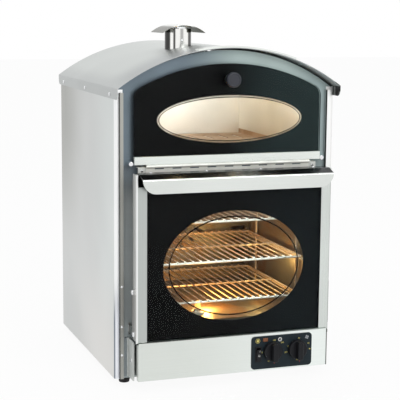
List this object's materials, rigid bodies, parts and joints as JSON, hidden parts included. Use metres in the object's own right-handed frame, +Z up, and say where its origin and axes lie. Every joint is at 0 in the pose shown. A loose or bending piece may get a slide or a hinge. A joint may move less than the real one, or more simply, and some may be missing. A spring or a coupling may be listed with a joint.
{
  "type": "baked potato oven",
  "caption": "Counter-top baked potato oven: fan-assisted oven with a drop-down glass door, an arched lit display chamber above it, control panel and a capped vent.",
  "frame": {"origin": "middle of the overall footprint, on the plane the feet stand on", "axes": "+X to the right seen from the front, +Y from the doors to the back, +Z up"},
  "size_m": [0.4564, 0.549, 0.6903],
  "materials": {
    "steel": "satin brushed",
    "chrome": "bright",
    "aluminium": "satin",
    "rubber": "matte",
    "glass": "polished",
    "plastic": "fine matte",
    "ceramic": "matte",
    "iron": "dark",
    "element": "heat-darkened",
    "wool": "fibrous",
    "lamp": "clear, lit",
    "pilot": "clear amber"
  },
  "bodies": {
    "cabinet": {"side_panel_left": "steel", "side_panel_right": "steel", "base_pan": "steel", "rubber_feet": "rubber", "back_panel": "steel", "roof_sheet": "steel", "roof_edge_strip": "steel", "arch_fascia": "steel", "lower_fascia": "steel", "corner_strips": "steel", "shell_rivets": "steel", "shell_screws": "chrome", "vent_tube": "chrome", "vent_cap": "steel", "cap_strap": "steel", "display_liner": "steel", "display_floor": "steel", "lampholders": "ceramic", "lamp_bulbs": "lamp", "display_seal": "rubber", "catch_magnet": "iron", "hinge_leaf_fixed": "steel", "hinge_pin": "chrome", "hinge_arms": "steel", "mouth_frame": "steel", "oven_seal": "rubber", "oven_liner": "steel", "rack_bottom": "chrome", "rack_middle": "chrome", "rack_top": "chrome", "rack_ladders": "chrome", "fan_baffle": "steel", "fan_motor": "iron", "ring_element": "element", "insulation_blanket": "wool", "control_panel": "steel", "control_plate": "plastic", "control_chassis": "steel", "side_brackets": "steel", "switch_bodies": "plastic", "rocker_bezel": "plastic", "pilot_lamp": "pilot", "cable_gland": "plastic"},
    "upper_door": {"upper_glass": "glass", "upper_trim": "aluminium", "upper_knob": "plastic", "knob_screw": "chrome", "hinge_leaf_door": "steel"},
    "lower_door": {"door_frame": "aluminium", "door_outer_glass": "glass", "door_inner_tray": "steel", "door_inner_glass": "glass", "door_handle": "aluminium", "handle_screws": "chrome", "hinge_plates": "steel", "door_pins": "chrome"},
    "thermostat_knob": {"thermostat_knob": "plastic"},
    "timer_knob": {"timer_knob": "plastic"},
    "rocker_button": {"rocker_button": "plastic"},
    "fan_wheel": {"fan_wheel": "aluminium"}
  },
  "joints": [
    {"name": "upper_door_hinge", "type": "hinge", "parent": "cabinet", "child": "upper_door", "pos_m": [0, -0.20705, 0.4264], "axis": [1, 0, 0], "range_deg": [0, 90]},
    {"name": "lower_door_hinge", "type": "hinge", "parent": "cabinet", "child": "lower_door", "pos_m": [0, -0.23355, 0.111], "axis": [1, 0, 0], "range_deg": [0, 90]},
    {"name": "thermostat_turn", "type": "hinge", "parent": "cabinet", "child": "thermostat_knob", "pos_m": [0.0765, -0.2529, 0.0605], "axis": [0, 1, 0], "range_deg": [0, 270]},
    {"name": "timer_turn", "type": "hinge", "parent": "cabinet", "child": "timer_knob", "pos_m": [0.129, -0.2529, 0.0605], "axis": [0, 1, 0], "range_deg": [0, 300]},
    {"name": "rocker_tilt", "type": "hinge", "parent": "cabinet", "child": "rocker_button", "pos_m": [0.0475, -0.25145, 0.056], "axis": [1, 0, 0], "range_deg": [-16, 0]},
    {"name": "fan_spin", "type": "hinge", "parent": "cabinet", "child": "fan_wheel", "pos_m": [0, 0.1424, 0.262], "axis": [0, 1, 0], "continuous": true}
  ]
}
